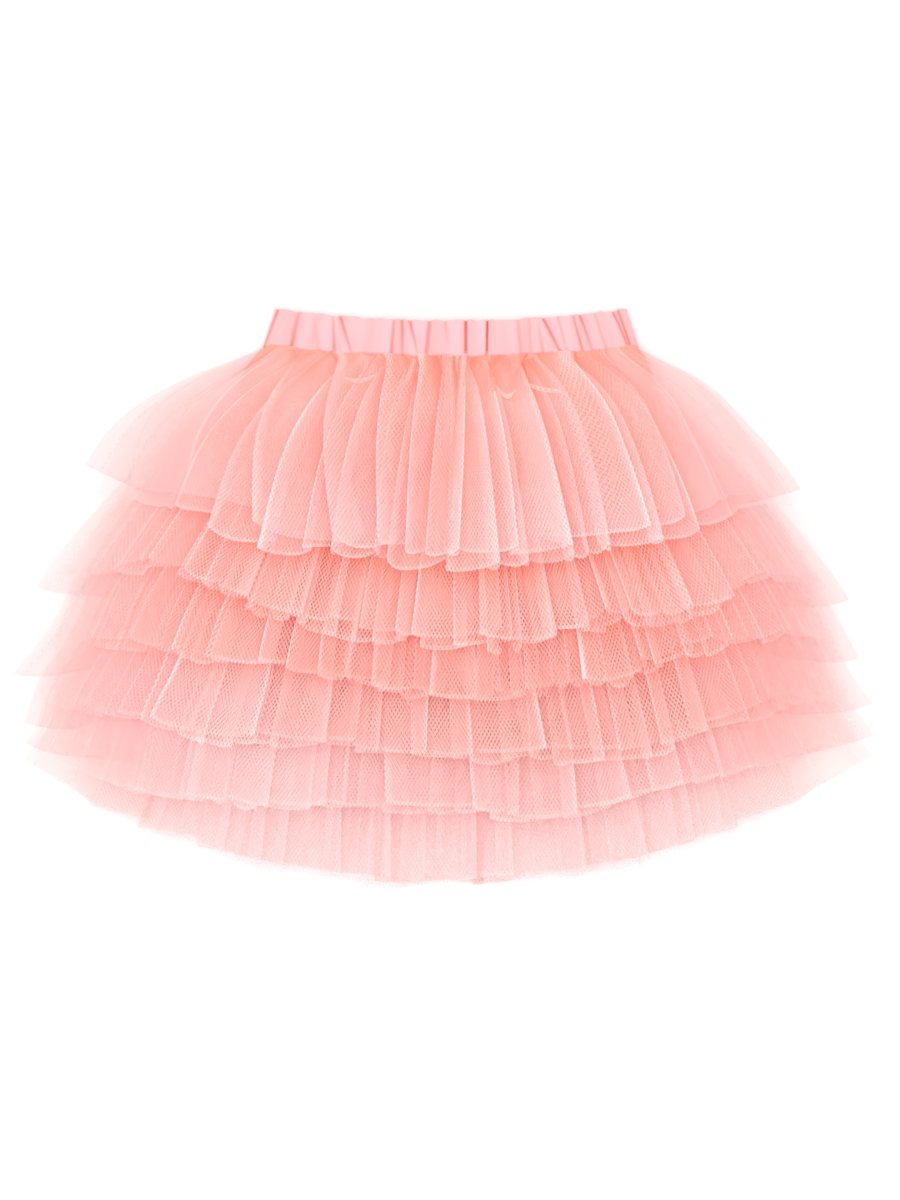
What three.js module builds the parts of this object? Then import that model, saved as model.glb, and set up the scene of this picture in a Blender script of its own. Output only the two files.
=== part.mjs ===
// A child's tulle skirt laid out flat on a table: a gathered elastic waistband, a plain base panel
// front and back, and six gathered net tiers sewn to the base row below row, front and back.
// Millimetres. +X runs across the skirt, +Y up towards the waist, +Z up from the table.
import * as THREE from "three";

// Driving dimensions
const ROW_PITCH = 31.2; // from one tier's seam down to the next
const WAIST_Y = 131.44; // the waist seam's middle
const SEAM_GAP = 0.3; // between pieces that are sewn to or lie on each other
const NET_WALL = 1.4; // a tier's doubled net, with the air it holds
const BASE_WALL = 1.2; // the base cloth
const BASE_HEM_ROW = 6; // the base ends one row below the last tier's seam
const BASE_SIDE = 0.8; // the base's width below the hip, as a share of the spread tiers'
const BASE_COLUMNS = 14;
const FRONT_LIFT = 6.4; // height that a front tier takes up in the pile
const BACK_LIFT = 3.3; // height that a back tier takes up, pressed flat by the rest
const SIDE_PRESS = 0.4; // share of the pile's height that is lost towards the side folds
const PRESS_START = 0.5; // where across the half width that flattening begins
const GATHER_START = 0.3; // depth of the folds at a tier's seam, as a share of their full depth
const FULL_FOLD_AT = 0.45; // how far down a tier its folds reach their full depth
const POINTS_PER_FOLD = 4;
const FOLD_SHAPE = [0, 1, 0, -1]; // one fold: rising, crest, falling, trough
const BAND = {
  height: 21,
  thickness: 3,
  edgeThickness: 2.3,
  topHalfWidth: 97.5,
  topRise: 6.6,
  gatherDepth: 1.1,
  backColumns: 12,
};

// The spread skirt, row by row: rows below the waist seam, half the width there, how far the row's
// ends curve up towards the waist, where its middle lies, and how far both its ends lean to the right.
const SPREAD = [
  { row: 0, halfWidth: 104, rise: 5.5, middle: 3.65, lean: 0 },
  { row: 1, halfWidth: 143, rise: 18, middle: 3.45, lean: -4 },
  { row: 2, halfWidth: 167, rise: 28, middle: 3.25, lean: -8 },
  { row: 3.4, halfWidth: 188, rise: 38, middle: 2.75, lean: -4.5 },
  { row: 5, halfWidth: 208, rise: 41, middle: 1.75, lean: -3 },
  { row: 6, halfWidth: 216, rise: 40, middle: 1.15, lean: -1 },
  { row: 7, halfWidth: 224, rise: 41, middle: 0.55, lean: -3 },
  { row: 8, halfWidth: 227, rise: 46, middle: -0.05, lean: 1 },
  { row: 9.23, halfWidth: 227.5, rise: 62, middle: -0.55, lean: 0.5 },
];

// The tiers from the waist down: the rows of seam and hem, the folds that show on each side, how wide
// the seam is beside the spread row, and where its pattern of folds begins.
const TIERS = [
  { name: "tier_1", seam: 0, hem: 3.4, frontFolds: 14, backFolds: 8, seamSide: 1, start: 0.13 },
  { name: "tier_2", seam: 1, hem: 5, frontFolds: 20, backFolds: 8, seamSide: 0.84, start: 0.41 },
  { name: "tier_3", seam: 2, hem: 6, frontFolds: 20, backFolds: 8, seamSide: 0.84, start: 0.77 },
  { name: "tier_4", seam: 3, hem: 7, frontFolds: 18, backFolds: 8, seamSide: 0.84, start: 0.29 },
  { name: "tier_5", seam: 4, hem: 8, frontFolds: 16, backFolds: 8, seamSide: 0.84, start: 0.58 },
  { name: "tier_6", seam: 5, hem: 9.23, frontFolds: 16, backFolds: 8, seamSide: 0.84, start: 0.9 },
];

// The crests of the top tier's front folds from left to right: their places across the skirt (-1 to 1)
// at the seam and at the hem. In the middle they hang straight, and at the sides they fan out.
const TOP_FOLDS = [
  { seam: -1, hem: -1 },
  { seam: -0.95, hem: -0.78 },
  { seam: -0.85, hem: -0.57 },
  { seam: -0.64, hem: -0.38 },
  { seam: -0.36, hem: -0.22 },
  { seam: -0.16, hem: -0.13 },
  { seam: -0.03, hem: -0.06 },
  { seam: 0.09, hem: 0.03 },
  { seam: 0.19, hem: 0.17 },
  { seam: 0.37, hem: 0.27 },
  { seam: 0.64, hem: 0.55 },
  { seam: 0.8, hem: 0.7 },
  { seam: 0.9, hem: 0.8 },
  { seam: 0.96, hem: 0.9 },
  { seam: 1, hem: 1 },
];
const CREST_OFFSET = 0.25; // a crest's place within its fold
const TOP_FAN = 0.5; // under 1, the folds fan out soonest just below the seam
const TOP_PUFF = 1.6; // the top tier's folds stand higher, as nothing lies on them

// The grooves between the waistband's gathers, from left to right: where each one meets the top edge
// and the seam, and its depth as a share of the deepest.
const GATHERS = [
  { top: -91.9, foot: -98, depth: 0.8 },
  { top: -80.3, foot: -84.7, depth: 0.7 },
  { top: -72.1, foot: -68.8, depth: 0.3 },
  { top: -61.1, foot: -60.5, depth: 0.6 },
  { top: -57.2, foot: -50.6, depth: 0.7 },
  { top: -27.5, foot: -29.2, depth: 0.6 },
  { top: -23.1, foot: -22.6, depth: 0.6 },
  { top: -18.7, foot: -13.8, depth: 0.6 },
  { top: -7.7, foot: -9.9, depth: 0.7 },
  { top: 1.1, foot: 3.3, depth: 0.3 },
  { top: 12.1, foot: 12.1, depth: 1 },
  { top: 24, foot: 23.6, depth: 1 },
  { top: 41.2, foot: 42.9, depth: 0.4 },
  { top: 47.3, foot: 48.4, depth: 0.4 },
  { top: 52.2, foot: 55, depth: 0.4 },
  { top: 55.6, foot: 64.9, depth: 0.8 },
  { top: 63.2, foot: 68.7, depth: 0.4 },
  { top: 71.5, foot: 77, depth: 0.6 },
  { top: 75.3, foot: 82.5, depth: 0.7 },
  { top: 83.6, foot: 90.2, depth: 0.4 },
  { top: 93.2, foot: 101.3, depth: 0.8 },
  { top: 97.2, foot: 104.3, depth: 0.8 },
];

// How far each front tier's hem hangs below its even row, by place across the skirt (-1 to 1).
const HEM_DROPS = [
  { across: -1, tier_1: -3.2, tier_2: 2.3, tier_3: 7.8, tier_4: 7.1, tier_5: 12.3, tier_6: -0.6 },
  { across: -0.86, tier_1: -6.8, tier_2: -10.1, tier_3: -2.5, tier_4: 3.2, tier_5: 19, tier_6: 2 },
  { across: -0.72, tier_1: -11.7, tier_2: -19.1, tier_3: -6, tier_4: 0.8, tier_5: 18, tier_6: 3.2 },
  { across: -0.6, tier_1: 0.2, tier_2: -16, tier_3: -10.6, tier_4: 4, tier_5: 12, tier_6: 1 },
  { across: -0.48, tier_1: -0.4, tier_2: -10.7, tier_3: -12.1, tier_4: -1, tier_5: 5.5, tier_6: 1.9 },
  { across: -0.24, tier_1: -6.1, tier_2: -5.3, tier_3: -11, tier_4: -5.5, tier_5: -2.1, tier_6: 0.9 },
  { across: -0.12, tier_1: -0.3, tier_2: -3.5, tier_3: -5.4, tier_4: -2.2, tier_5: -3.7, tier_6: 2.8 },
  { across: 0, tier_1: -0.9, tier_2: -0.3, tier_3: -2.4, tier_4: 1, tier_5: -3.2, tier_6: -2.5 },
  { across: 0.24, tier_1: 1.8, tier_2: -2.1, tier_3: -3.1, tier_4: 2.1, tier_5: 5, tier_6: -0.7 },
  { across: 0.48, tier_1: -4.4, tier_2: -6.3, tier_3: -5.5, tier_4: 7.2, tier_5: 0.2, tier_6: 2.3 },
  { across: 0.6, tier_1: 1.4, tier_2: -1.9, tier_3: -10.3, tier_4: 2.1, tier_5: 0.2, tier_6: 0.1 },
  { across: 0.86, tier_1: -3.7, tier_2: -4.6, tier_3: -9, tier_4: -1.1, tier_5: 2.1, tier_6: 4 },
  { across: 1, tier_1: 4, tier_2: 8.7, tier_3: 5.8, tier_4: 6.8, tier_5: 3, tier_6: -2.8 },
];

// The side tips of the back tiers, which show past the front ones: how far out they reach as a share
// of the half width, and how many rows they hang below the hem.
const BACK_TIPS = [
  { leftOut: 1.03, leftDrop: -0.25, rightOut: 1.02, rightDrop: 0.2 },
  { leftOut: 1.04, leftDrop: 0.45, rightOut: 1.035, rightDrop: 0.65 },
  { leftOut: 1.024, leftDrop: 1, rightOut: 1.015, rightDrop: 0.6 },
  { leftOut: 1.018, leftDrop: 0.95, rightOut: 1.018, rightDrop: 0.55 },
  { leftOut: 1.012, leftDrop: 0.6, rightOut: 1.013, rightDrop: 0.4 },
  { leftOut: 1.012, leftDrop: -0.1, rightOut: 1.02, rightDrop: -0.15 },
];
const TIP_START = 0.72; // where across the half width a back tier begins to hang into its tip
const BACK_HEM_DROP = 0.06; // rows by which a back hem shows below the front one
const BACK_RAGGED = 0.05; // rows by which a back hem wanders up and down

const CLOTH = new THREE.MeshStandardMaterial({ color: 0xffc6c8, roughness: 0.75, metalness: 0 });
const LINING = new THREE.MeshStandardMaterial({ color: 0xf9afa6, roughness: 0.85, metalness: 0 });
const NET = new THREE.MeshStandardMaterial({ color: 0xfabdb8, roughness: 0.9, metalness: 0 });

const { clamp, lerp, smoothstep } = THREE.MathUtils;

// A column of the SPREAD table at any row, on a smooth curve through its entries.
function spread(column, row) {
  const last = SPREAD.length - 1;
  let i = 0;
  while (i < last - 1 && row > SPREAD[i + 1].row) i += 1;
  const slopeAt = (k) => {
    const above = SPREAD[Math.max(k - 1, 0)];
    const below = SPREAD[Math.min(k + 1, last)];
    return (below[column] - above[column]) / (below.row - above.row);
  };
  const a = SPREAD[i];
  const b = SPREAD[i + 1];
  const span = b.row - a.row;
  const t = (row - a.row) / span;
  const start = a[column] * (1 + 2 * t) * (1 - t) ** 2 + slopeAt(i) * span * t * (1 - t) ** 2;
  const end = b[column] * t * t * (3 - 2 * t) + slopeAt(i + 1) * span * t * t * (t - 1);
  return start + end;
}

// The place in plan of a point across (-1 to 1) the spread skirt on a row below the waist seam.
function inPlan(across, row) {
  const x = spread("middle", row) + across * spread("halfWidth", row) + across * across * spread("lean", row);
  const y = WAIST_Y - row * ROW_PITCH + spread("rise", row) * across * across;
  return { x, y };
}

// How far the pile is pressed together here: 1 in the middle, less at the side folds.
function press(across) {
  return 1 - SIDE_PRESS * smoothstep(Math.abs(across), PRESS_START, 1);
}

// 1 where a tier lies on a row, falling to 0 one row above its seam and one row below its hem, or
// one more row below it where the tips hang at the sides.
function lies(tier, row, across) {
  const tips = smoothstep(Math.abs(across), PRESS_START, TIP_START);
  const hem = Math.ceil(tier.hem - 0.5) + (tier.seam === 0 ? 1 : 0) + tips;
  return clamp(row - tier.seam + 1, 0, 1) * clamp(hem + 1 - row, 0, 1);
}

// Height of the back tiers at a place, of those nearer to the waist than the given one.
function backPile(row, across, count = TIERS.length) {
  const layers = TIERS.slice(0, count).reduce((sum, tier) => sum + lies(tier, row, across), 0);
  return BACK_LIFT * layers * press(across);
}

// Height of both base panels at a row.
function basePile(row) {
  return 2 * (BASE_WALL + SEAM_GAP) * clamp(BASE_HEM_ROW + 1 - row, 0, 1);
}

// Height of the front tiers at a place, of those nearer to the hem than the given one.
function frontPile(row, across, index) {
  const layers = TIERS.slice(index + 1).reduce((sum, tier) => sum + lies(tier, row, across), 0);
  return FRONT_LIFT * layers * press(across);
}

// How far a front tier's hem hangs below its even row, in rows, at a place across.
function frontDrop(tier, across) {
  const last = HEM_DROPS.length - 1;
  let i = 0;
  while (i < last - 1 && across > HEM_DROPS[i + 1].across) i += 1;
  const a = HEM_DROPS[i];
  const b = HEM_DROPS[i + 1];
  const share = clamp((across - a.across) / (b.across - a.across), 0, 1);
  return lerp(a[tier.name], b[tier.name], share) / ROW_PITCH;
}

// An uneven wave from -1 to 1 along a tier.
function wander(along, start) {
  const slow = Math.sin(2 * Math.PI * (2.3 * along + start));
  const quick = Math.sin(2 * Math.PI * (5.7 * along + 2.1 * start));
  return 0.6 * slow + 0.4 * quick;
}

// Uneven fold widths: an even place along a tier (0 to 1) becomes a place across the skirt (-1 to 1).
function foldPlace(along, start) {
  const slow = 0.016 * Math.sin(2 * Math.PI * (3 * along + start));
  const quick = 0.008 * Math.sin(2 * Math.PI * (7 * along + 3 * start));
  const ends = Math.sin(Math.PI * along);
  return 2 * (along + (slow + quick) * ends) - 1;
}

// Where a line down a tier's folds begins at the seam and ends at the hem, by its even place along.
function foldLine(tier, isFront, along) {
  if (tier.seam > 0 || !isFront) {
    const place = foldPlace(along, tier.start);
    return { seam: place * tier.seamSide, hem: place, fan: 1 };
  }
  const last = TOP_FOLDS.length - 1;
  const number = clamp(along * last - CREST_OFFSET * Math.sin(Math.PI * along) ** 0.3, 0, last);
  const i = Math.min(Math.floor(number), last - 1);
  const a = TOP_FOLDS[i];
  const b = TOP_FOLDS[i + 1];
  return { seam: lerp(a.seam, b.seam, number - i), hem: lerp(a.hem, b.hem, number - i), fan: TOP_FAN };
}

// A closed wall between two grids of points of the same size: upper faces up, lower faces down.
function wallBetween(upper, lower) {
  const rows = upper.length;
  const columns = upper[0].length;
  const points = [...upper.flat(), ...lower.flat()];
  const top = (r, c) => r * columns + c;
  const under = (r, c) => rows * columns + r * columns + c;
  const triangles = [];
  const quad = (a, b, c, d) => triangles.push(a, b, c, a, c, d);
  for (let r = 0; r < rows - 1; r += 1) {
    for (let c = 0; c < columns - 1; c += 1) {
      quad(top(r, c), top(r + 1, c), top(r + 1, c + 1), top(r, c + 1));
      quad(under(r, c), under(r, c + 1), under(r + 1, c + 1), under(r + 1, c));
    }
    quad(top(r, 0), under(r, 0), under(r + 1, 0), top(r + 1, 0));
    quad(top(r, columns - 1), top(r + 1, columns - 1), under(r + 1, columns - 1), under(r, columns - 1));
  }
  for (let c = 0; c < columns - 1; c += 1) {
    quad(top(0, c), top(0, c + 1), under(0, c + 1), under(0, c));
    quad(top(rows - 1, c), under(rows - 1, c), under(rows - 1, c + 1), top(rows - 1, c + 1));
  }
  const geometry = new THREE.BufferGeometry();
  geometry.setAttribute("position", new THREE.Float32BufferAttribute(points.flatMap((p) => p.toArray()), 3));
  geometry.setIndex(triangles);
  geometry.computeVertexNormals();
  return geometry;
}

function named(name, geometry, material) {
  const mesh = new THREE.Mesh(geometry, material);
  mesh.name = name;
  return mesh;
}

// The rows on which a tier's wall has points: its seam, the whole rows on its way, and its hem.
function tierRows(tier, hem) {
  const rows = [tier.seam + SEAM_GAP / ROW_PITCH];
  for (let row = tier.seam + 1; row < tier.hem - 0.9; row += 1) rows.push(row);
  return [...rows, hem];
}

// One half of a tier: a strip of net gathered into its seam, its folds opening towards the hem.
// A front half lies folded on what is under it. A back half has a flat underside, and its folds
// thicken the wall upwards, as pressed pleats do.
function tierWall(index, isFront) {
  const tier = TIERS[index];
  const tips = BACK_TIPS[index];
  const columns = (isFront ? tier.frontFolds : tier.backFolds) * POINTS_PER_FOLD;
  const rowCount = tierRows(tier, tier.hem).length;
  const upper = Array.from({ length: rowCount }, () => []);
  const lower = Array.from({ length: rowCount }, () => []);
  for (let c = 0; c <= columns; c += 1) {
    const along = c / columns;
    const line = foldLine(tier, isFront, along);
    const place = line.hem;
    const tip = isFront ? 0 : smoothstep(Math.abs(place), TIP_START, 1);
    const out = lerp(1, place < 0 ? tips.leftOut : tips.rightOut, tip);
    const tipDrop = tip * (place < 0 ? tips.leftDrop : tips.rightDrop);
    const backDrop = BACK_HEM_DROP + BACK_RAGGED * wander(along, tier.start) + tipDrop;
    const hem = tier.hem + (isFront ? frontDrop(tier, place) : backDrop);
    const fold = FOLD_SHAPE[c % POINTS_PER_FOLD];
    const foldHeight = 0.78 + 0.22 * wander(along, tier.start + 0.5);
    tierRows(tier, hem).forEach((row, r) => {
      const down = (row - tier.seam) / (hem - tier.seam);
      const across = lerp(line.seam, place * out, down ** line.fan);
      const { x, y } = inPlan(across, row);
      const fullness = lerp(GATHER_START, 1, clamp(down / FULL_FOLD_AT, 0, 1)) * foldHeight;
      const lift = (isFront ? FRONT_LIFT : BACK_LIFT) * press(across);
      const puff = isFront && index === 0 ? TOP_PUFF : 1;
      const depth = Math.max(lift - NET_WALL - 2 * SEAM_GAP, 0) * fullness * puff;
      const folded = (depth * (1 + fold)) / 2;
      if (isFront) {
        const pile = backPile(row, across) + basePile(row) + frontPile(row, across, index);
        lower[r].push(new THREE.Vector3(x, y, pile + SEAM_GAP + folded));
        upper[r].push(new THREE.Vector3(x, y, pile + SEAM_GAP + folded + NET_WALL));
      } else {
        const pile = backPile(row, across, index);
        lower[r].push(new THREE.Vector3(x, y, pile));
        upper[r].push(new THREE.Vector3(x, y, pile + NET_WALL + folded));
      }
    });
  }
  return wallBetween(upper, lower);
}

// One half of the base: a plain flared panel, which the tiers are sewn to row by row.
function basePanel(isFront) {
  const upper = [];
  const lower = [];
  for (let row = 0; row <= BASE_HEM_ROW; row += 1) {
    const seamRow = Math.max(row, SEAM_GAP / ROW_PITCH);
    const side = lerp(1, BASE_SIDE, Math.min(row, 1));
    const above = [];
    const below = [];
    for (let c = 0; c <= BASE_COLUMNS; c += 1) {
      const across = side * ((2 * c) / BASE_COLUMNS - 1);
      const { x, y } = inPlan(across, seamRow);
      const underFront = isFront ? BASE_WALL + SEAM_GAP : 0;
      const floor = backPile(seamRow, across) + SEAM_GAP + underFront;
      below.push(new THREE.Vector3(x, y, floor));
      above.push(new THREE.Vector3(x, y, floor + BASE_WALL));
    }
    upper.push(above);
    lower.push(below);
  }
  return wallBetween(upper, lower);
}

// Points along the waistband at a share of its height: their place across and how far each is raised,
// from 0 in the deepest groove to 1 on a gather.
function bandPoints(isFront, up) {
  if (!isFront) {
    const evenly = Array.from({ length: BAND.backColumns + 1 }, (point, c) => (2 * c) / BAND.backColumns - 1);
    return evenly.map((across) => ({ across, raised: 0 }));
  }
  const halfWidth = lerp(spread("halfWidth", 0), BAND.topHalfWidth, up);
  const points = [{ across: -1, raised: 0.5 }];
  for (const groove of GATHERS) {
    const across = (lerp(groove.foot, groove.top, up) - spread("middle", 0)) / halfWidth;
    points.push({ across: (points.at(-1).across + across) / 2, raised: 1 });
    points.push({ across, raised: 1 - groove.depth });
  }
  points.push({ across: (points.at(-1).across + 1) / 2, raised: 1 });
  points.push({ across: 1, raised: 0.5 });
  return points;
}

// One half of the waistband: a casing drawn up by its elastic. The front's gathers are raised over
// a plain inside, and the back lies flat on the table.
function waistband(isFront) {
  const upper = [];
  const lower = [];
  for (const up of [1, 0.5, 0]) {
    const halfWidth = lerp(spread("halfWidth", 0), BAND.topHalfWidth, up);
    const rise = lerp(spread("rise", 0), BAND.topRise, up);
    const above = [];
    const below = [];
    for (const { across, raised } of bandPoints(isFront, up)) {
      const x = spread("middle", 0) + across * halfWidth;
      const y = WAIST_Y + SEAM_GAP + up * (BAND.height - SEAM_GAP) + rise * across * across;
      const squeeze = press(across);
      const thickness = up === 0.5 ? BAND.thickness : BAND.edgeThickness;
      const floor = isFront ? BAND.thickness * squeeze + SEAM_GAP : 0;
      below.push(new THREE.Vector3(x, y, floor));
      above.push(new THREE.Vector3(x, y, floor + (thickness + BAND.gatherDepth * raised) * squeeze));
    }
    lower.push(below);
    upper.push(above);
  }
  return wallBetween(upper, lower);
}

const skirt = new THREE.Group();
for (const [side, isFront] of [["back", false], ["front", true]]) {
  skirt.add(named(`waistband_${side}`, waistband(isFront), CLOTH));
  skirt.add(named(`base_${side}`, basePanel(isFront), LINING));
  TIERS.forEach((tier, index) => {
    skirt.add(named(`${tier.name}_${side}`, tierWall(index, isFront), NET));
  });
}

export default skirt;
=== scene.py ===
import math

import bpy
import numpy as np
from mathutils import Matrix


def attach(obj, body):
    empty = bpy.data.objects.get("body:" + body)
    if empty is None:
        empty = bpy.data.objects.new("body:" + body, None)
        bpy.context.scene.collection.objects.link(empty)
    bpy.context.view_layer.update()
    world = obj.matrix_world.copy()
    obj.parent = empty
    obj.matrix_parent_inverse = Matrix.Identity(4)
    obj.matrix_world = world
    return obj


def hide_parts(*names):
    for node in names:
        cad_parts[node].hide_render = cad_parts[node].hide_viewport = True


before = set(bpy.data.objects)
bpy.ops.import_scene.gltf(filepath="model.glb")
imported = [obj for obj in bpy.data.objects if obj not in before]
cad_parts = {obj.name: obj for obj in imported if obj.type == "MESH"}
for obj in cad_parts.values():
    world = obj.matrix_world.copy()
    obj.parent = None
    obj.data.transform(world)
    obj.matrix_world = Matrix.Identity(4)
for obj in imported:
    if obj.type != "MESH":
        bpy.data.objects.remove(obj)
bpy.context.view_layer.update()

# The base: a flared front and back panel of plain woven cloth, joined at the sides. It hangs from the
# waistband and carries the rows of stitching that hold the tiers, and shows only through their net.
MM = 0.001
ROW_PITCH = 31.2
WAIST_Y = 131.44
SEAM_GAP = 0.3
BASE_WALL = 1.2
BASE_TOP_ROW = -0.12
BASE_HEM_ROW = 6
BASE_SIDE = 0.8
BASE_RIPPLE = 0.3
BASE_THREAD = 0.55
THREAD_RELIEF = 0.0001
FRONT_LIFT = 6.4
BACK_LIFT = 3.3
SIDE_PRESS = 0.4
PRESS_START = 0.5
TIP_START = 0.72
ROWS, HALF_WIDTH, RISE, MIDDLE, LEAN = range(5)
SPREAD = np.array([
    # row, half width, rise of the ends, middle, lean of the ends
    (0.0, 104.0, 5.5, 3.65, 0.0),
    (1.0, 143.0, 18.0, 3.45, -4.0),
    (2.0, 167.0, 28.0, 3.25, -8.0),
    (3.4, 188.0, 38.0, 2.75, -4.5),
    (5.0, 208.0, 41.0, 1.75, -3.0),
    (6.0, 216.0, 40.0, 1.15, -1.0),
    (7.0, 224.0, 41.0, 0.55, -3.0),
    (8.0, 227.0, 46.0, -0.05, 1.0),
    (9.23, 227.5, 62.0, -0.55, 0.5),
])
TIER_ROWS = ((0, 3.4), (1, 5), (2, 6), (3, 7), (4, 8), (5, 9.23))
TIERS = len(TIER_ROWS)


def smooth(value, start, end):
    """0 before the start, 1 past the end, and an even S between them."""
    share = np.clip((value - start) / (end - start), 0, 1)
    return share * share * (3 - 2 * share)


def spread(column, row):
    """A column of the spread at these rows, by a smooth curve through its points."""
    rows = SPREAD[:, ROWS]
    values = SPREAD[:, column]
    above = np.clip(np.arange(len(rows)) - 1, 0, None)
    below = np.clip(np.arange(len(rows)) + 1, None, len(rows) - 1)
    slopes = (values[below] - values[above]) / (rows[below] - rows[above])
    i = np.clip(np.searchsorted(rows, row) - 1, 0, len(rows) - 2)
    span = rows[i + 1] - rows[i]
    t = (row - rows[i]) / span
    start = values[i] * (1 + 2 * t) * (1 - t) ** 2 + slopes[i] * span * t * (1 - t) ** 2
    end = values[i + 1] * t * t * (3 - 2 * t) + slopes[i + 1] * span * t * t * (t - 1)
    return start + end


def in_plan(across, row):
    """Where a place across, from -1 to 1, and a row of stitching lie on the table."""
    x = spread(MIDDLE, row) + across * spread(HALF_WIDTH, row) + across**2 * spread(LEAN, row)
    y = WAIST_Y - row * ROW_PITCH + across**2 * spread(RISE, row)
    return x, y


def press(across):
    """How much of the pile's height is left towards the sides, where it is pressed flat."""
    return 1 - SIDE_PRESS * smooth(np.abs(across), PRESS_START, 1)


def lies(tier, row, across):
    """1 where a tier lies in the pile, going to 0 above its seam and below its hem."""
    seam, hem = TIER_ROWS[tier]
    low = math.ceil(hem - 0.5) + (seam == 0) + smooth(np.abs(across), PRESS_START, TIP_START)
    return np.clip(row - seam + 1, 0, 1) * np.clip(low + 1 - row, 0, 1)


def back_pile(row, across, count=TIERS):
    """How high the first few back tiers raise what lies on them."""
    return BACK_LIFT * press(across) * sum(lies(tier, row, across) for tier in range(count))


def base_pile(row):
    """How high the two base panels raise what lies on them."""
    return 2 * (BASE_WALL + SEAM_GAP) * np.clip(BASE_HEM_ROW + 1 - row, 0, 1)


def uneven(place, seed):
    """A smooth wandering value from -1 to 1, one new value for each step of place."""
    count = 512
    values = np.random.default_rng(seed).uniform(-1, 1, count)
    cell = np.floor(place).astype(int)
    share = place - cell
    share = share * share * (3 - 2 * share)
    return values[cell % count] * (1 - share) + values[(cell + 1) % count] * share


def cloth(name, sheets, material):
    """One object of open sheets. Each sheet is a grid of points, the place of each in the flat cut in
    millimetres, and how it looks there: the tone of the dye with painted shade and light in it, how
    strongly a painted highlight lies on it at creases and hems, where the net is also thicker, how sheer
    it is and how cool the dye is."""
    points = np.concatenate([grid.reshape(-1, 3) for grid, cut, look in sheets]) * MM
    cuts = np.concatenate([cut.reshape(-1, 3) for grid, cut, look in sheets])
    looks = np.concatenate([look.reshape(-1, 4) for grid, cut, look in sheets])
    faces = []
    first = 0
    for grid, cut, look in sheets:
        rows, columns = grid.shape[:2]
        number = first + np.arange(rows * columns).reshape(rows, columns)
        corners = (number[:-1, :-1], number[1:, :-1], number[1:, 1:], number[:-1, 1:])
        faces.append(np.stack(corners, -1).reshape(-1, 4))
        first += rows * columns
    faces = np.concatenate(faces)
    mesh = bpy.data.meshes.new(name)
    mesh.vertices.add(len(points))
    mesh.vertices.foreach_set("co", points.ravel())
    mesh.loops.add(faces.size)
    mesh.loops.foreach_set("vertex_index", faces.ravel())
    mesh.polygons.add(len(faces))
    mesh.polygons.foreach_set("loop_start", np.arange(len(faces)) * 4)
    mesh.polygons.foreach_set("use_smooth", np.ones(len(faces), bool))
    for label, values in (("cut", cuts), ("look", looks[:, :3])):
        attribute = mesh.attributes.new(label, "FLOAT_VECTOR", "POINT")
        attribute.data.foreach_set("vector", values.ravel())
    attribute = mesh.attributes.new("cool", "FLOAT", "POINT")
    attribute.data.foreach_set("value", looks[:, 3].copy())
    mesh.update()
    mesh.validate()
    piece = bpy.data.objects.new(name, mesh)
    bpy.context.collection.objects.link(piece)
    mesh.materials.append(material)
    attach(piece, "root")
    return piece


class Shade:
    """A value in a material's nodes. Sums on it add Math nodes."""

    def __init__(self, tree, socket=None):
        self.tree = tree
        self.socket = socket

    def node(self, kind, settings=None, inputs=None, output=0):
        node = self.tree.nodes.new("ShaderNode" + kind)
        for name, value in (settings or {}).items():
            if name == "stops":
                elements = node.color_ramp.elements
                while len(elements) < len(value):
                    elements.new(1.0)
                for element, (place, colour) in zip(elements, value):
                    element.position = place
                    element.color = (*colour, 1)
            else:
                setattr(node, name, value)
        for name, value in (inputs or {}).items():
            if isinstance(value, Shade):
                self.tree.links.new(value.socket, node.inputs[name])
            else:
                node.inputs[name].default_value = value
        return Shade(self.tree, node.outputs[output])

    def maths(self, operation, *values, clamp=False):
        return self.node("Math", {"operation": operation, "use_clamp": clamp}, dict(enumerate(values)))

    def __add__(self, other):
        return self.maths("ADD", self, other)

    def __sub__(self, other):
        return self.maths("SUBTRACT", self, other)

    def __rsub__(self, other):
        return self.maths("SUBTRACT", other, self)

    def __mul__(self, other):
        return self.maths("MULTIPLY", self, other)

    def __truediv__(self, other):
        return self.maths("DIVIDE", self, other)

    __radd__ = __add__
    __rmul__ = __mul__

    def parts(self, label):
        """The three parts of a mesh's attribute, each as a value."""
        vector = self.node("Attribute", {"attribute_name": label}, output=1)
        node = self.node("SeparateXYZ", inputs={"Vector": vector}).socket.node
        return [Shade(self.tree, node.outputs[part]) for part in "XYZ"]

    def line(self, share):
        """1 on a thread that takes up this share of each whole step of the value, else 0."""
        off_middle = self.maths("ABSOLUTE", self.maths("FRACT", self) - 0.5) * 2
        return self.maths("MULTIPLY", off_middle - (1 - share), 2 / share, clamp=True)


def finish_of(name, **sockets):
    """A new material, its plain settings on the shader's own sockets, and its nodes to build on."""
    material = bpy.data.materials.new(name)
    material.use_nodes = True
    shader = material.node_tree.nodes["Principled BSDF"]
    for socket, value in sockets.items():
        shader.inputs[socket.replace("_", " ")].default_value = value
    return material, Shade(material.node_tree), shader


def feed(shader, socket, value):
    """Links a value to one of the shader's sockets."""
    value.tree.links.new(value.socket, shader.inputs[socket])


def pink(red, green, blue):
    """A colour as a screen shows it, 0 to 255, as light."""
    shares = np.array([red, green, blue]) / 255
    return np.where(shares < 0.04045, shares / 12.92, ((shares + 0.055) / 1.055) ** 2.4).tolist()


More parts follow.
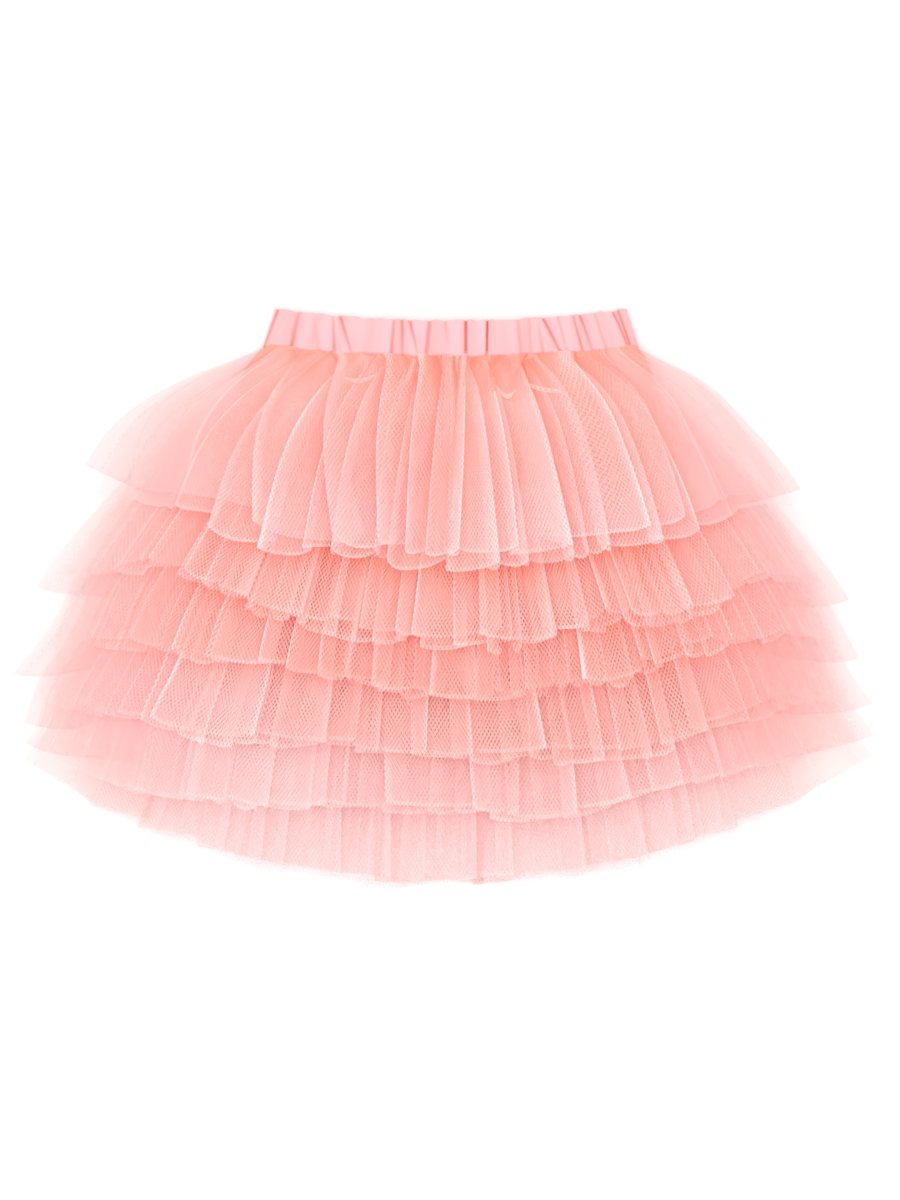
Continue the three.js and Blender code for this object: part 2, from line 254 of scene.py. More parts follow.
def woven(name, pitch, thread_share, bump, tones, **sockets):
    """A plain weave of slightly raised threads, coloured between a darker and a lighter tone; the tone it
    is given may hold painted shade.
    """
    material, nodes, shader = finish_of(name, **sockets)
    wide, deep = nodes.parts("cut")[:2]
    tone = nodes.parts("look")[0]
    weave = nodes.maths("MAXIMUM", (wide / pitch).line(thread_share), (deep / pitch).line(thread_share))
    relief = {"Height": weave, "Strength": bump, "Distance": THREAD_RELIEF}
    feed(shader, "Normal", nodes.node("Bump", inputs=relief))
    stops = tuple(zip((0.0, 1.0), tones))
    feed(shader, "Base Color", nodes.node("ValToRGB", {"stops": stops}, {"Fac": tone}))
    return material


base_pinks = (pink(253, 148, 128), pink(254, 156, 138))
base_cloth = woven("base_cloth", BASE_THREAD, 0.6, 0.25, base_pinks, Roughness=0.9, Specular_IOR_Level=0.1)

for side in ("back", "front"):
    across, row = np.meshgrid(np.linspace(-1, 1, 81), np.linspace(BASE_TOP_ROW, BASE_HEM_ROW, 61))
    across = across * (1 - (1 - BASE_SIDE) * np.clip(row, 0, 1))
    x, y = in_plan(across, row)
    wall_middle = SEAM_GAP + BASE_WALL / 2 + (BASE_WALL + SEAM_GAP) * (side == "front")
    ripple = BASE_RIPPLE * uneven(across * 9 + 20, 31) * smooth(row, 0, 2)
    z = back_pile(row, across) + wall_middle + ripple
    down = row * ROW_PITCH
    tone = 0.5 + 0.5 * uneven(x / 23 + 40, 32) * uneven(down / 19 + 40, 33)
    look = np.stack([tone, 0 * x, 0 * x, 0 * x], -1)
    sheet = (np.stack([x, y, z], -1), np.stack([x, down, 0 * x], -1), look)
    piece = cloth("base_" + side, [sheet], base_cloth)
    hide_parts("base_" + side)


# The tiers: six strips of fine pink net, each cut double and about twice as wide as its seam, drawn up
# on a gathering thread and stitched to the base one row below the next. Front halves, two layers each.
# A row of six values has one for each tier, the top tier first.
NET_WALL = 1.4
GATHER_START = 0.3
FULL_FOLD_AT = 0.45
DOWN_STEPS = np.concatenate([np.linspace(0, 0.92, 26), [0.945, 0.965, 0.98, 0.988, 0.994, 1.0]])
FRONT_FOLDS = (14, 20, 20, 18, 16, 16)
UNDER_FOLDS = (18, 30, 31, 25, 23, 26)
SEAM_SIDES = (1, 0.84, 0.84, 0.84, 0.84, 0.84)
STARTS = (0.13, 0.41, 0.77, 0.29, 0.58, 0.9)
HEM_DROPS = np.array([
    # place across, then how far each tier's hem hangs below its even row there
    (-1.0, -3.2, 2.3, 7.8, 7.1, 12.3, -0.6),
    (-0.86, -6.8, -10.1, -2.5, 3.2, 19.0, 2.0),
    (-0.72, -11.7, -19.1, -6.0, 0.8, 18.0, 3.2),
    (-0.6, 0.2, -16.0, -10.6, 4.0, 12.0, 1.0),
    (-0.48, -0.4, -10.7, -12.1, -1.0, 5.5, 1.9),
    (-0.24, -6.1, -5.3, -11.0, -5.5, -2.1, 0.9),
    (-0.12, -0.3, -3.5, -5.4, -2.2, -3.7, 2.8),
    (0.0, -0.9, -0.3, -2.4, 1.0, -3.2, -2.5),
    (0.24, 1.8, -2.1, -3.1, 2.1, 5.0, -0.7),
    (0.48, -4.4, -6.3, -5.5, 7.2, 0.2, 2.3),
    (0.6, 1.4, -1.9, -10.3, 2.1, 0.2, 0.1),
    (0.86, -3.7, -4.6, -9.0, -1.1, 2.1, 4.0),
    (1.0, 4.0, 8.7, 5.8, 6.8, 3.0, -2.8),
])
TOP_TIER_CRESTS = np.array([
    # each fold of the top tier from left to right: its crest's place at the seam, its place at the hem
    (-1.0, -1.0), (-0.95, -0.78), (-0.85, -0.57), (-0.64, -0.38), (-0.36, -0.22),
    (-0.16, -0.13), (-0.03, -0.06), (0.09, 0.03), (0.19, 0.17), (0.37, 0.27),
    (0.64, 0.55), (0.8, 0.7), (0.9, 0.8), (0.96, 0.9), (1.0, 1.0),
])
TOP_FAN = 0.5
SIDE_SEAMS = (
    # place across at the upper end, at the lower end, how far down the lowest tier each end is
    (-0.69, -0.722, 0.74, 0.95),
    (0.828, 0.845, 0.54, 0.9),
)
TURNED_EDGES = (
    # where the top tier's seam edge turns over: x and y at the start, the middle and the end
    ((-55.6, 120.5), (-46.2, 116.0), (-36.3, 122.7)),
    ((42.3, 118.8), (51.0, 112.6), (68.7, 112.6)),
    ((29.1, 116.5), (34.6, 104.0), (40.7, 115.4)),
)
UNDER_LAYER_LONGER = (9, 3, 3, 3, 3, 2)
UNDER_LAYER_FROM = (0, 0.4, 0.4, 0.4, 0.4, 0.4)
UNDER_BAND = 2.5
SCALLOP = (3.5, 2.5, 2.2, 1.6, 1.5, 1.5)
# Painted shade: each tier's tone near its seam, darkened where the tier above shades it; then its tone at
# the hem.
SEAM_SHADE_TONE = (0.75, 0.0, 0.0, 0.2, 0.5, 0.85)
HEM_TONE = (0.92, 0.6, 0.45, 0.6, 0.8, 1.0)
# Painted highlight on each tier's fold crests.
EDGE_HIGHLIGHT = (0.75, 0.95, 0.95, 0.85, 0.6, 0.5)
SIDE_COOL = (0.85, 0.85, 0.85, 0.7, 0.5, 0.4)
SIDE_SHEER = (-0.1, 0.0, 0.1, 0.2, 0.35, 0.45)
RIM_SHEER = 0.7
LEFT_DENSE = 0.2
# Painted light: how much paler each tier is towards the left, where the room light is brighter.
LEFT_PAINTED_LIGHT = (0.0, 0.0, 0.08, 0.2, 0.4, 0.3)
TIER_SHEER = (0.0, 0.0, 0.0, 0.0, 0.05, 0.3)
PUFF = (1.6, 1, 1, 1, 1, 1)
FOLDS_START = (0.0, 0.02, 0.02, 0.02, 0.02, 0.02)
FOLDS_OPEN = (0.2, 0.3, 0.3, 0.3, 0.3, 0.3)
HAZE = (0.5, 0.0, 0.0, 0.1, 0.5, 0.7)
HEM_RAGGED = (3.0, 4.5, 4.5, 3.5, 2.5, 2.0)
# Painted shade in the hollows of each tier's folds, beside the crest that covers them.
VALLEY_SHADE = (0.75, 0.5, 0.5, 0.4, 0.2, 0.1)
OVERLAP = (0.14, 0.24, 0.24, 0.2, 0.16, 0.14)
CALM_FROM = 0.55
CALM_TO = 0.9
ROLL_FROM = 0.955
ROLL_HEIGHT = 2.2
UNDER_STEP = 0.9
TUCK_UNDER_BAND = 2.6
CREST_WIDTH = 0.06
HEM_EDGE = (0.978, 0.99)
STITCH_WIDTH = 0.004
STITCH_END = 0.02
LIP_HALF_WIDTH = 1.3
LIP_LIFT = 5.0
LIP_BEND = 0.8
LIP_LENGTH = 20
FINE_GATHERS = 1.1

MESH_SIZE = 2.2
THREAD_SLANT = 0.577
THREAD_SHARE = 0.3
HAZE_COVER = 0.4
THREAD_COVER = 0.62
LEAST_COVER = 0.05
CREASE_COVER = 0.5
OWN_PINK = 0.3
net, nodes, shader = finish_of("net", Roughness=0.9, Specular_IOR_Level=0.1)
wide, deep, haze = nodes.parts("cut")
tone, crease_and_highlight, sheer = nodes.parts("look")
rising = ((wide + deep * THREAD_SLANT) / MESH_SIZE).line(THREAD_SHARE)
falling = ((wide - deep * THREAD_SLANT) / MESH_SIZE).line(THREAD_SHARE)
thread = nodes.maths("MAXIMUM", rising, falling)
cover = thread + (HAZE_COVER - thread) * nodes.maths("MAXIMUM", haze, crease_and_highlight)
# The darkest stop is painted shade in fold hollows and gathers, also used for dark seam stitching.
stops = ((0.0, pink(212, 118, 104)), (OWN_PINK, pink(255, 160, 140)), (1.0, pink(255, 217, 217)))
dye_and_shade = nodes.node("ValToRGB", {"stops": stops}, {"Fac": tone})
cool = nodes.node("Attribute", {"attribute_name": "cool"}, output=2)
side_pink = {0: cool, 6: dye_and_shade, 7: (*pink(255, 193, 190), 1)}
dye_and_shade = nodes.node("Mix", {"data_type": "RGBA"}, side_pink, output=2)
# Painted highlight: a pale pink laid over creases and hems.
highlight_mix = {0: crease_and_highlight, 6: dye_and_shade, 7: (*pink(255, 228, 227), 1)}
feed(shader, "Base Color", nodes.node("Mix", {"data_type": "RGBA"}, highlight_mix, output=2))
full_cover = cover * THREAD_COVER + LEAST_COVER + crease_and_highlight * CREASE_COVER
feed(shader, "Alpha", nodes.maths("MINIMUM", full_cover * (1 - sheer), 1.0))


def dye_and_shade_tone(tone):
    """A tone from 0, the net's own pink, up to 1, its palest, or down to -1 for painted shade in the
    hollows of folds and gathers, and for dark seam stitching.
    """
    return OWN_PINK + np.where(tone > 0, (1 - OWN_PINK) * tone, OWN_PINK * tone)


def wander(along, start):
    """A wandering value from -1 to 1 along a strip, as the solids have it."""
    slow = np.sin(2 * np.pi * (2.3 * along + start))
    quick = np.sin(2 * np.pi * (5.7 * along + 2.1 * start))
    return 0.6 * slow + 0.4 * quick


def fold_place(along, start):
    """Place across, from -1 to 1, of a share along a strip whose folds aren't all of a width."""
    slow = 0.016 * np.sin(2 * np.pi * (3 * along + start))
    quick = 0.008 * np.sin(2 * np.pi * (7 * along + 3 * start))
    return 2 * (along + (slow + quick) * np.sin(np.pi * along)) - 1


def fold_wave(phase):
    """A wave from -1 to 1 with flat flanks and tight crests, as creased net has."""
    tightness = 0.97
    return np.arcsin(tightness * np.sin(2 * np.pi * phase)) / np.arcsin(tightness)


def bell(value):
    """1 at 0 and falling off to both sides, nearly 0 past 2."""
    return np.exp(-(value**2))


def arc_length(line):
    return np.linalg.norm(np.diff(line, axis=0), axis=1).sum()


def area_of(grid):
    first = np.cross(grid[1:, :-1] - grid[:-1, :-1], grid[:-1, 1:] - grid[:-1, :-1])
    second = np.cross(grid[1:, :-1] - grid[1:, 1:], grid[:-1, 1:] - grid[1:, 1:])
    return (np.linalg.norm(first, axis=-1).sum() + np.linalg.norm(second, axis=-1).sum()) / 2


FOLD_STEPS = np.array([0, 0.06, 0.12, 0.17, 0.205, 0.23, 0.25, 0.27, 0.295, 0.33, 0.38, 0.44])
FOLD_STEPS = np.concatenate([FOLD_STEPS, FOLD_STEPS + 0.5])


def fold_columns(folds):
    """Places along a strip, closer together at the crests and troughs of its folds."""
    return np.append((np.arange(folds)[:, None] + FOLD_STEPS).ravel(), folds) / folds


def front_layer(tier, under):
    """One net layer of a tier's front half: the lower layer lies under the other and is longer."""
    seam, hem_row = TIER_ROWS[tier]
    folds = UNDER_FOLDS[tier] if under else FRONT_FOLDS[tier]
    seed = 100 * (tier + 1) + 10 * under
    top = UNDER_LAYER_FROM[tier] if under else 0
    along, down = np.meshgrid(fold_columns(folds), top + (1 - top) * DOWN_STEPS)
    number = folds * along
    wave = fold_wave(number)
    drift = (0.4 * uneven(number * 0.6, seed + 1) * down + 0.1 * under) / folds
    drifted = np.clip(along + drift * np.sin(np.pi * along) ** 0.5, 0, 1)
    place = fold_place(drifted, STARTS[tier] + 0.37 * under)
    seam_place = place * SEAM_SIDES[tier]
    if tier == 0 and not under:
        count = np.arange(folds + 1)
        nearest = np.clip(number - 0.25 * np.sin(np.pi * along) ** 0.3 + drift * folds, 0, folds)
        place = np.interp(nearest, count, TOP_TIER_CRESTS[:, 1])
        seam_place = np.interp(nearest, count, TOP_TIER_CRESTS[:, 0])
    calm = smooth(np.abs(place), CALM_FROM, CALM_TO)

    # How far each place on the strip hangs down, with a ragged and scalloped hem.
    drop = np.interp(place, HEM_DROPS[:, 0], HEM_DROPS[:, tier + 1])
    drop = drop + HEM_RAGGED[tier] * uneven(number * 1.1, seed) + under * UNDER_LAYER_LONGER[tier]
    rounding = (1 - 2 * np.abs(wave) ** 3) * (0.6 + 0.5 * uneven(number * 0.9 + 4, seed + 11)) + 0.5 * wave
    drop = drop + SCALLOP[tier] * rounding * (1 - 0.8 * calm)
    start = seam if tier else -UNDER_BAND / ROW_PITCH
    row = start + (hem_row + drop / ROW_PITCH - start) * down
    across = seam_place + (place - seam_place) * (down if tier else down**TOP_FAN)

    # How high the folds stand on the tiers that lie below.
    size = (0.78 + 0.22 * wander(along, STARTS[tier] + 0.5)) * (0.95 + 0.35 * uneven(number + 9, seed + 2))
    fullness = np.minimum(GATHER_START + (1 - GATHER_START) * down / FULL_FOLD_AT, 1) * size
    depth = np.maximum(FRONT_LIFT * press(across) - NET_WALL - 2 * SEAM_GAP, 0.4) * fullness * PUFF[tier]
    gathers = 1.3 * smooth(down, 0, 0.06) * (1 - smooth(down, 0.08, 0.4)) + 0.15
    small = uneven(number * 6, seed + 3) * gathers
    flutter = 0.8 * uneven(number * 2.2, seed + 4) * smooth(down, 0.7, 1)
    pile = back_pile(row, across) + base_pile(row)
    pile += FRONT_LIFT * press(across) * sum(lies(lower, row, across) for lower in range(tier + 1, TIERS))
    z = pile + SEAM_GAP + depth * (1 + wave) / 2 + small + flutter + NET_WALL * (1 - under)
    if tier == 0:
        z = z - TUCK_UNDER_BAND * (1 - smooth(down, 0.01, 0.12))
    x, y = in_plan(across, row)

    # How the folds lean over to one side and cover part of the next.
    turn = uneven(number * 0.4 + 3, seed * 7) if tier else np.clip(place * 3, -1, 1)
    turn = np.sign(turn) * (OVERLAP[tier] * np.abs(turn) ** 0.5 + 0.27) * np.minimum(np.abs(turn) * 8, 1)
    fold_width = np.gradient(across, along[0], axis=1) / folds * spread(HALF_WIDTH, row)
    opened = smooth(down, FOLDS_START[tier] - 0.1, FOLDS_OPEN[tier])
    lean = turn * np.maximum(fold_width, 4) * opened * (1 - 0.75 * calm)
    toward_side = np.stack([spread(HALF_WIDTH, row), 2 * across * spread(RISE, row)], -1)
    toward_side /= np.linalg.norm(toward_side, axis=-1, keepdims=True)
    shift = wave - (tier == 0 and not under)
    x = x + toward_side[..., 0] * lean * shift
    y = y + toward_side[..., 1] * lean * shift

    # The rims roll down to the back halves at both sides.
    rolled = np.clip((np.abs(place) - ROLL_FROM) / (1 - ROLL_FROM), 0, 1) ** 2
    rim_height = back_pile(row, across, tier) + ROLL_HEIGHT - UNDER_STEP * under
    z = z + (rim_height - z) * rolled
    grid = np.stack([x, y, z], -1)
    edge = np.linalg.norm(np.diff(grid[-1], axis=0), axis=1)
    cut_across = np.append(0, np.cumsum(edge)) + 0 * along
    cut_length = arc_length(grid[:, grid.shape[1] // 2]) / (1 - top)
    haze = np.clip(HAZE[tier] + 0.7 * calm, 0, 1)
    cut = np.stack([cut_across, down * cut_length, haze], -1)

    # The dye, with painted shade near the seam, in fold hollows and gathers, painted light towards the
    # left, painted highlights on creases and hem, and how sheer the net is.
    patch = 0.12 * uneven(along * 40, seed + 5) * uneven(down * 4 + 7, seed + 6)
    # Painted shade: darker near the seam, where the tier above shades it, paler towards the hem.
    deep = SEAM_SHADE_TONE[tier] + (HEM_TONE[tier] - SEAM_SHADE_TONE[tier]) * smooth(down, 0.55, 0.9)
    # Painted shade: the net is darkened in the hollows of its folds, next to the crest over them, and made
    # a little less sheer there.
    hollow = smooth(-wave, 0.5, 1.0) if tier else smooth(-wave, -0.1, 0.8)
    valley_shade = VALLEY_SHADE[tier] * hollow * (1 - 0.6 * down) * (1 - calm) * (1 - under)
    # Painted light: the tone is paler towards the left.
    tone = deep + patch - valley_shade + LEFT_PAINTED_LIGHT[tier] * smooth(-place, 0.15, 0.6)
    # Painted highlights: paler colour along the fold crests and the hem, where the net is also made
    # thicker.
    crest = np.abs(wave) if tier else wave
    ridge = bell((crest - 1) / CREST_WIDTH) * smooth(down, 0.0, 0.12)
    strength = 0.55 + 0.45 * uneven(number * 2 + 5, seed + 7)
    strength = strength * (0.75 + 0.25 * uneven(down * 5 + number, seed + 9))
    crease_and_highlight = np.minimum(EDGE_HIGHLIGHT[tier] * ridge * (1 - 0.5 * calm) * strength, 0.85)
    hem_highlight = 0.22 + 0.18 * uneven(number * 1.7, seed + 12)
    crease_and_highlight = np.maximum(crease_and_highlight, hem_highlight * (1 - 0.8 * calm) * smooth(down, *HEM_EDGE))
    # Painted light and shade in the bunched gathers by the seam: pale streaks and dark streaks.
    gather_light_and_shade = 0.5 + 0.5 * uneven(number * 7, seed + 8)
    bunched = 1 - smooth(down, 0.02, 0.3)
    crease_and_highlight = np.maximum(crease_and_highlight, 0.5 * gather_light_and_shade**2 * bunched)
    tone = tone - 0.8 * (1 - gather_light_and_shade) * bunched
    if tier == TIERS - 1 and not under:
        for top_place, foot_place, begins, ends in SIDE_SEAMS:
            off = place - top_place - (foot_place - top_place) * (down - begins) / (ends - begins)
            stitched = bell(off / STITCH_WIDTH) * smooth(down, begins - STITCH_END, begins)
            stitched = stitched * (1 - smooth(down, ends, ends + STITCH_END))
            tone = tone - stitched
            crease_and_highlight = np.maximum(crease_and_highlight, 0.3 * stitched)
    rim = RIM_SHEER * smooth(np.abs(place), 0.82, 1)
    side_sheer = SIDE_SHEER[tier] - LEFT_DENSE * (place < 0)
    sheer = 1 - (1 - side_sheer * calm * smooth(down, 0, 0.3)) * (1 - rim) - 0.5 * valley_shade
    sheer = sheer + TIER_SHEER[tier] * smooth(down, 0.5, 0.9)
    if under and top:
        sheer = np.maximum(sheer, 1 - smooth(down, top, top + 0.15))
    return grid, cut, np.stack([dye_and_shade_tone(tone), crease_and_highlight, sheer, SIDE_COOL[tier] * calm], -1)


def bend(start, middle, end, along):
    """A curve that leaves its start towards the middle point and comes from there to its end."""
    return start * (1 - along) ** 2 + 2 * middle * along * (1 - along) + end * along**2


def turned_edge(start, middle, end):
    """A narrow lip of net, bent along a curve and lying on the folds."""
    along, over = np.meshgrid(np.linspace(0, 1, 17), np.linspace(-1, 1, 5))
    x, y = (bend(*points, along) for points in zip(start, middle, end))
    y = y + over * LIP_HALF_WIDTH * np.sin(np.pi * along) ** 0.5
    row = (WAIST_Y - y) / ROW_PITCH
    across = (x - spread(MIDDLE, row)) / spread(HALF_WIDTH, row)
    pile = back_pile(row, across) + base_pile(row)
    pile += FRONT_LIFT * sum(lies(lower, row, across) for lower in range(1, TIERS))
    z = pile + LIP_LIFT - LIP_BEND * over**2
    # Painted highlight along the lip's outer edge.
    look = np.stack([dye_and_shade_tone(0.9 + 0 * x), 0.15 + 0.5 * smooth(-over, 0.3, 1), 0 * x, 0 * x], -1)
    cut = np.stack([along * LIP_LENGTH, over * LIP_HALF_WIDTH, 0.5 + 0 * x], -1)
    return np.stack([x, y, z], -1), cut, look


def flat_cut(layers):
    """Width and length of a strip's flat cut. A tenth of its width is in gathers too fine to show."""
    grid = layers[-1][0]
    length = arc_length(grid[:, grid.shape[1] // 2])
    area = sum(area_of(layer[0]) for layer in layers)
    return FINE_GATHERS * area / length * MM, length * MM


for tier in range(TIERS):
    layers = [front_layer(tier, under) for under in (1, 0)]
    if tier == 0:
        layers = [turned_edge(*edge) for edge in TURNED_EDGES] + layers
    name = "tier_%d_front" % (tier + 1)
    piece = cloth(name, layers, net)
    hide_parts(name)
    flat_cut(layers)


# The tiers' back halves: the other half of each strip of net, gathered and stitched in the same way and
# pressed flat between the base and the table. Their tips show past the front halves at both sides.
BACK_FOLDS = 8
BACK_HEM_DROP = 0.06
BACK_RAGGED = 0.05
BACK_GAP = 0.15
BACK_RIM_SHEER = 0.4
BACK_TIPS = (
    # left reach, left drop, right reach, right drop
    (1.06, -0.25, 1.04, 0.2),
    (1.06, 0.45, 1.05, 0.65),
    (1.05, 1.0, 1.045, 0.6),
    (1.03, 0.95, 1.05, 0.55),
    (1.025, 0.6, 1.045, 0.4),
    (1.025, -0.1, 1.045, -0.15),
)


def back_layer(tier):
    """A tier's back half, folded and pressed flat."""
    seam, hem_row = TIER_ROWS[tier]
    seed = 1000 + 100 * (tier + 1)
    folds = BACK_FOLDS * 2
    along, down = np.meshgrid(fold_columns(folds), DOWN_STEPS)
    number = folds * along
    wave = fold_wave(number)
    drift = 0.4 * uneven(number * 0.6, seed + 1) * down / folds
    drifted = np.clip(along + drift * np.sin(np.pi * along) ** 0.5, 0, 1)
    place = fold_place(drifted, STARTS[tier])
    tip = smooth(np.abs(place), TIP_START, 1)
    left_out, left_drop, right_out, right_drop = BACK_TIPS[tier]
    out = 1 + tip * (np.where(place < 0, left_out, right_out) - 1)
    drop = tip * np.where(place < 0, left_drop, right_drop)
    ragged = BACK_RAGGED * wander(along, STARTS[tier]) + 0.04 * uneven(number, seed)
    start = seam + SEAM_GAP / ROW_PITCH
    hem = hem_row + BACK_HEM_DROP + drop + ragged
    row = start + (hem - start) * down
    across = place * (SEAM_SIDES[tier] + (out - SEAM_SIDES[tier]) * down)

    size = 0.75 + 0.25 * uneven(number + 9, seed + 2)
    fullness = np.minimum(GATHER_START + (1 - GATHER_START) * down / FULL_FOLD_AT, 1) * size
    depth = np.maximum(BACK_LIFT * press(across) - NET_WALL - SEAM_GAP, 0.3) * fullness
    z = back_pile(row, across, tier) + BACK_GAP + depth * (1 + wave) / 2
    x, y = in_plan(across, row)
    fold_width = 2 * spread(HALF_WIDTH, row) / folds
    lean = uneven(number * 0.45 + 3, seed // 100 * 7) * 0.4 * fold_width * smooth(down, 0.02, 0.5)
    x = x + lean * wave * (1 - smooth(np.abs(place), 0.7, 0.95))
    grid = np.stack([x, y, z], -1)
    edge = np.linalg.norm(np.diff(grid[-1], axis=0), axis=1)
    cut_across = np.append(0, np.cumsum(edge)) + 0 * along
    cut_length = arc_length(grid[:, grid.shape[1] // 2])
    calm = smooth(np.abs(place), CALM_FROM, CALM_TO)
    cut = np.stack([cut_across, down * cut_length, 0.5 + 0.4 * calm], -1)
    tone = 0.55 - 0.15 * calm + 0.15 * uneven(along * 40, seed + 5) * uneven(down * 4 + 7, seed + 6)
    # Painted highlights on the fold crests and the hem, where the net is also made thicker.
    crease_and_highlight = 0.4 * bell((np.abs(wave) - 1) / CREST_WIDTH) * smooth(down, 0.05, 0.3)
    crease_and_highlight = np.maximum(crease_and_highlight, 0.3 * smooth(down, *HEM_EDGE))
    sheer = BACK_RIM_SHEER * smooth(np.abs(place), 0.8, 0.95)
    sheer = sheer - 1.1 * (1 - calm) * (1 - smooth(row, 7.5, 9))
    return grid, cut, np.stack([dye_and_shade_tone(tone), crease_and_highlight, sheer, SIDE_COOL[tier] * calm], -1)


for tier in range(TIERS):
    layers = [back_layer(tier)]
    name = "tier_%d_back" % (tier + 1)
    piece = cloth(name, layers, net)
    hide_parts(name)
    flat_cut(layers)


# The waistband: a casing of smooth woven cloth folded over an elastic and sewn to the base and the top
# tier. The elastic draws it up into uneven upright gathers. Front and back halves.
BAND_HEIGHT = 21.0
BAND_THICKNESS = 3.0
BAND_TOP_HALF = 97.5
BAND_TOP_RISE = 6.6
BAND_CUT_HALF = 120
BAND_THREAD = 0.4
BAND_SEAM_TUCK = 1.2
TURN_FROM = 0.88
SIDE_FOLD_FROM = 0.98
GATHERS = (
    # where a groove between two gathers meets the top edge and the seam, its depth at both ends, its width
    (-91.9, -99.6, 1.4, 1.2, 1.2),
    (-80.3, -84.7, 0.7, 1.3, 1.6),
    (-72.1, -68.8, 0.1, 0.5, 2.4),
    (-61.1, -60.5, 0.6, 1.2, 1.1),
    (-57.2, -50.6, 1.3, 0.6, 1.2),
    (-27.5, -29.2, 0.8, 1.0, 1.2),
    (-23.1, -22.6, 1.2, 0.6, 1.1),
    (-18.7, -13.8, 1.2, 0.5, 1.0),
    (-7.7, -9.9, 1.0, 1.0, 1.5),
    (1.1, 3.3, 0.6, 0.0, 1.8),
    (12.1, 12.1, 1.9, 1.6, 1.2),
    (24.0, 23.6, 2.0, 1.7, 0.8),
    (41.2, 42.9, 0.5, 0.6, 1.8),
    (47.3, 48.4, 0.5, 0.5, 1.4),
    (52.2, 55.0, 0.4, 0.8, 1.4),
    (55.0, 64.9, 1.4, 1.0, 1.2),
    (63.2, 68.7, 0.6, 0.5, 1.3),
    (71.5, 77.0, 0.8, 1.0, 0.8),
    (75.3, 82.5, 1.3, 0.6, 1.0),
    (83.6, 90.2, 0.5, 0.5, 1.3),
    (93.7, 102.3, 1.5, 1.3, 0.9),
    (96.4, 103.6, 1.3, 1.4, 0.9),
)

# The darker pink is painted shade in the grooves between gathers.
band_pink_to_groove_shade = (pink(222, 128, 118), pink(255, 178, 182))
band_sheen = {"Sheen_Weight": 0.3, "Sheen_Roughness": 0.35}
band_cloth = woven("band_cloth", BAND_THREAD, 0.7, 0.2, band_pink_to_groove_shade, Roughness=0.6, **band_sheen)


def band_half(front):
    """A half of the casing, from the seam up over the outside and round the folded top edge."""
    across, round_up = np.meshgrid(np.linspace(-1, 1, 601), np.linspace(0, 1, 33))
    up = np.minimum(round_up / TURN_FROM, 1)
    turn = np.clip((round_up - TURN_FROM) / (1 - TURN_FROM), 0, 1)
    seam_half, seam_rise, middle = (spread(column, np.zeros(1)) for column in (HALF_WIDTH, RISE, MIDDLE))
    half_width = seam_half + (BAND_TOP_HALF - seam_half) * up
    rise = seam_rise + (BAND_TOP_RISE - seam_rise) * up
    squeeze = press(across)
    crown = 0.77 + 0.23 * np.sin(np.pi * np.clip(up * 0.9 + 0.08, 0, 1)) ** 0.6
    thickness = BAND_THICKNESS * squeeze * crown
    x = middle + across * half_width
    groove = 0 * across
    shadow = 0 * across
    for top, foot, top_depth, foot_depth, width in GATHERS:
        off = (x - foot - (top - foot) * up) / width
        depth = foot_depth + (top_depth - foot_depth) * up
        groove += depth * (bell(off / 0.6) + 0.5 * bell(off / 1.6) - 0.4 * bell(off / 3.5))
        # A painted shadow beside each groove, used only in the colour.
        shadow += depth * bell((off - 1.6) / 2.2)
    puff = 0.5 + 0.35 * uneven(across * 14 + 40, 77)
    outside = thickness + (puff - groove) * squeeze * (1 - turn**2)
    bulge = 0.5 * uneven(across * 26 + 60, 78) * smooth(up, 0.7, 1)
    y = WAIST_Y + SEAM_GAP + up * (BAND_HEIGHT - SEAM_GAP - 1) + rise * across**2
    y = y + np.sin(turn * np.pi / 2) + bulge - 0.35 * groove * smooth(up, 0.8, 1)
    y = y + 0.8 * uneven(across * 17 + 50, 80) * (1 - smooth(up, 0, 0.2))
    inside = BAND_THICKNESS * squeeze + SEAM_GAP / 2
    lift = outside * np.sqrt(np.clip(1 - turn**2, 0, 1))
    lift = lift - BAND_SEAM_TUCK * (1 - smooth(up, 0, 0.06))
    side_fold = np.clip((np.abs(across) - SIDE_FOLD_FROM) / (1 - SIDE_FOLD_FROM), 0, 1)
    lift = lift * np.sqrt(1 - side_fold**2)
    z = inside + lift if front else np.maximum(inside - 0.9 * lift, 0.05)
    grid = np.stack([x, y, z], -1)
    cut = np.stack([across * BAND_CUT_HALF, up * BAND_HEIGHT, 0 * up], -1)
    # Painted shade in the grooves and a painted shadow beside each groove darken the tone.
    tone = 0.85 + 0.12 * uneven(across * 20 + 30, 79) - 0.5 * np.maximum(groove, 0) - 0.1 * shadow
    return grid, cut, np.stack([tone, 0 * up, 0 * up, 0 * up], -1)


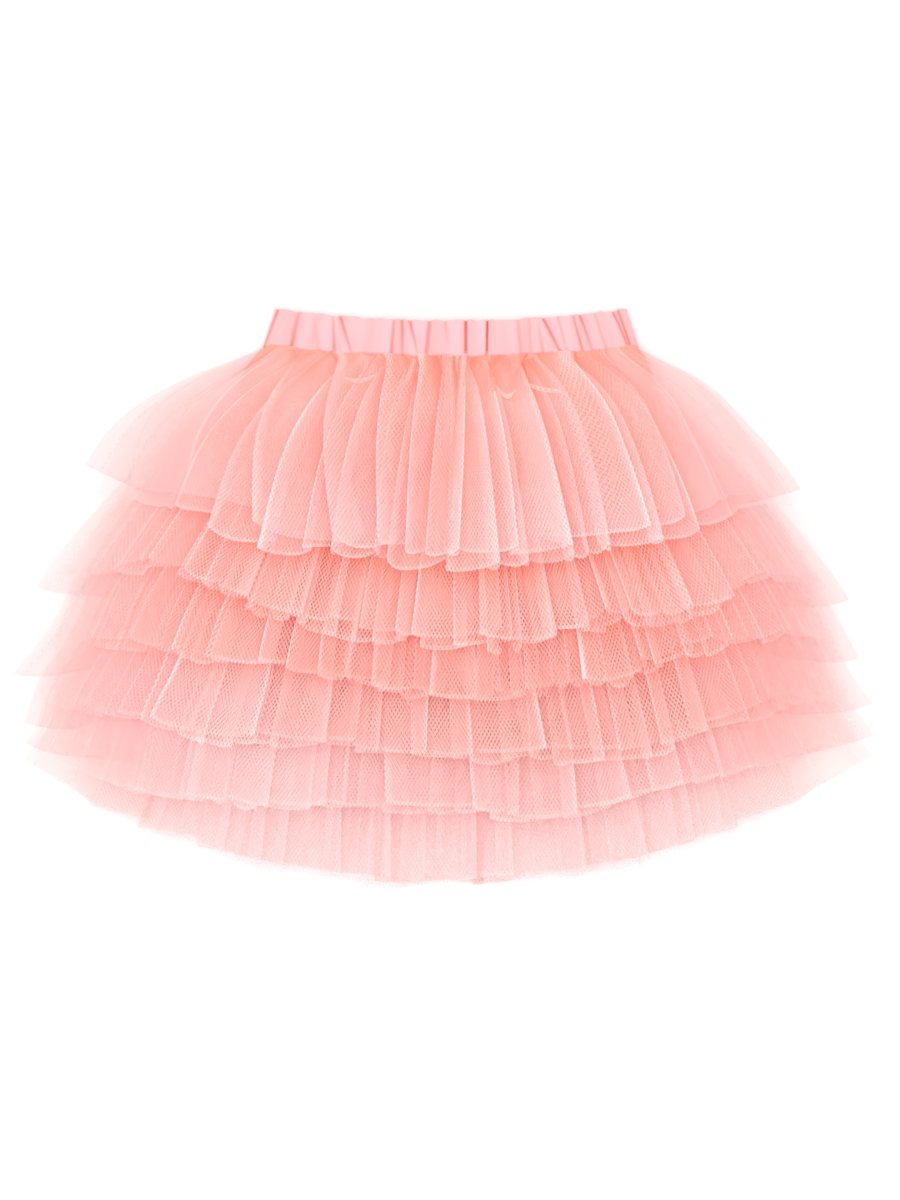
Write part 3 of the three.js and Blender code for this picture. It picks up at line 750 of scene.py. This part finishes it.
for side in ("back", "front"):
    name = "waistband_" + side
    piece = cloth(name, [band_half(side == "front")], band_cloth)
    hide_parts(name)


# The table: a plain pale sheet under the skirt, in soft light from all round that is stronger from above
# and from the upper left. The camera looks straight down at the middle of the picture.
TABLE_HALF = 4
TABLE_SHADE = (0.78, 0.78, 0.78, 1)
ROOM_LIGHT = 1.9
BRIGHT_SIDE = (-0.45, 0.4, 0.8)
table_white = finish_of("white", Roughness=0.9, Base_Color=TABLE_SHADE)[0]
table = bpy.data.meshes.new("table")
corners = [(TABLE_HALF * x, TABLE_HALF * y, 0) for x, y in ((-1, -1), (1, -1), (1, 1), (-1, 1))]
table.from_pydata(corners, [], [(0, 1, 2, 3)])
table.materials.append(table_white)
floor = bpy.data.objects.new("table", table)
bpy.context.collection.objects.link(floor)

scene = bpy.context.scene
world = bpy.data.worlds.new("room")
world.use_nodes = True
room = Shade(world.node_tree)
direction = room.node("TexCoord")
toward_light = {0: direction, 1: BRIGHT_SIDE}
brightness = room.node("VectorMath", {"operation": "DOT_PRODUCT"}, toward_light, output=1)
stops = ((0.0, (0.45, 0.45, 0.45)), (1.0, (1.0, 1.0, 1.0)))
background = world.node_tree.nodes["Background"]
background.inputs["Strength"].default_value = ROOM_LIGHT
feed(background, "Color", room.node("ValToRGB", {"stops": stops}, {"Fac": brightness}))
world.cycles.sampling_method = "NONE"
scene.world = world

CAMERA_HEIGHT = 3.0
PICTURE_HEIGHT = 0.66
PICTURE_MIDDLE = (0.0033, -0.0022)
SENSOR = 36
PILE_MIDDLE = 0.02
camera = bpy.data.cameras.new("camera")
camera.lens = SENSOR * (CAMERA_HEIGHT - PILE_MIDDLE) / PICTURE_HEIGHT
camera.clip_end = 20
camera_object = bpy.data.objects.new("camera", camera)
camera_object.location = (*PICTURE_MIDDLE, CAMERA_HEIGHT)
bpy.context.collection.objects.link(camera_object)
scene.camera = camera_object
scene.view_settings.view_transform = "Standard"
scene.cycles.transparent_max_bounces = 40
scene.cycles.max_bounces = 6
scene.cycles.diffuse_bounces = 6
scene.cycles.glossy_bounces = 1
